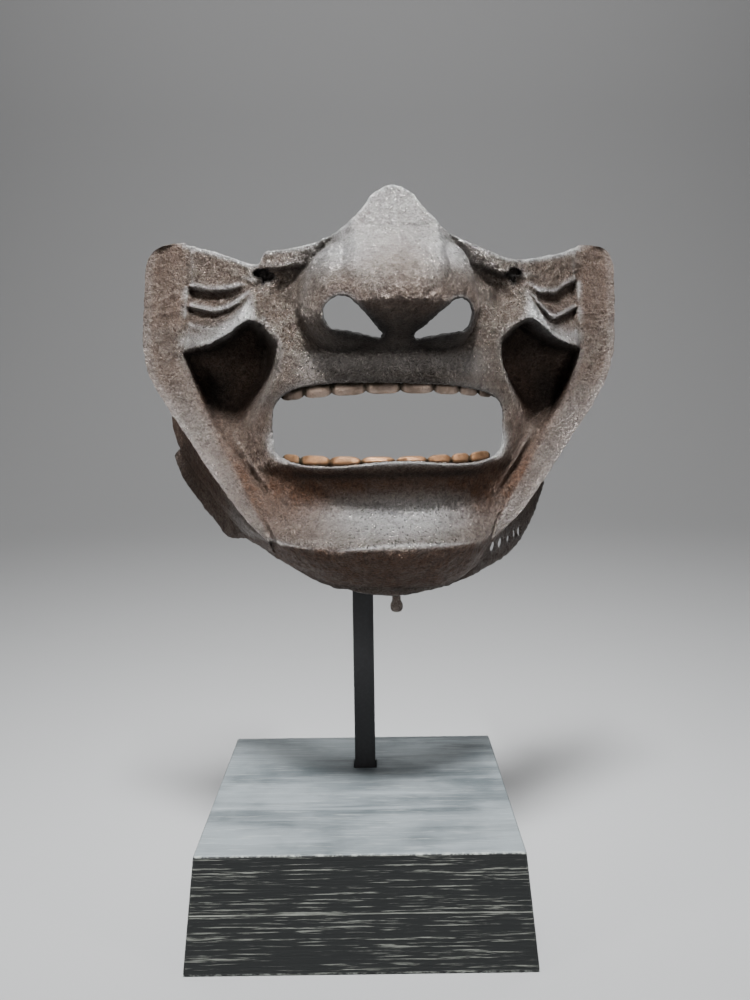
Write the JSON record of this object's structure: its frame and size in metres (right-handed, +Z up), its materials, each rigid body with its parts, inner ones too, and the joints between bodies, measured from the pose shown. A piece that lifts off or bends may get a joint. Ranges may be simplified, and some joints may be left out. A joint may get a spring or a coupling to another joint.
{
  "type": "samurai face guard on display stand",
  "caption": "Fierce half face guard of beaten russet iron with pierced nostrils, open toothed mouth and standing jaw flange, held on a square rod over a tapered wooden base.",
  "frame": {"origin": "middle of the underside of the stand's base", "axes": "+Z up, +X to the viewer's right of the face, -Y the way the stand faces; the guard itself is turned 6 degrees about +Z towards the viewer's right"},
  "size_m": [0.1665, 0.115, 0.2523],
  "materials": {
    "russet_iron": "pitted russet patina, worn bright on the ridges",
    "rusted_iron": "brown rust",
    "copper_teeth": "tarnished copper",
    "black_steel": "matt black",
    "ebonised_oak": "ebonised, open grain limed pale"
  },
  "bodies": {
    "root": {"face_plate": "russet_iron", "upper_teeth": "copper_teeth", "lower_teeth": "copper_teeth", "throat_rim": "rusted_iron", "chin_peg": "russet_iron", "chin_arm": "black_steel", "stand_rod": "black_steel", "stand_base": "ebonised_oak"}
  },
  "joints": []
}
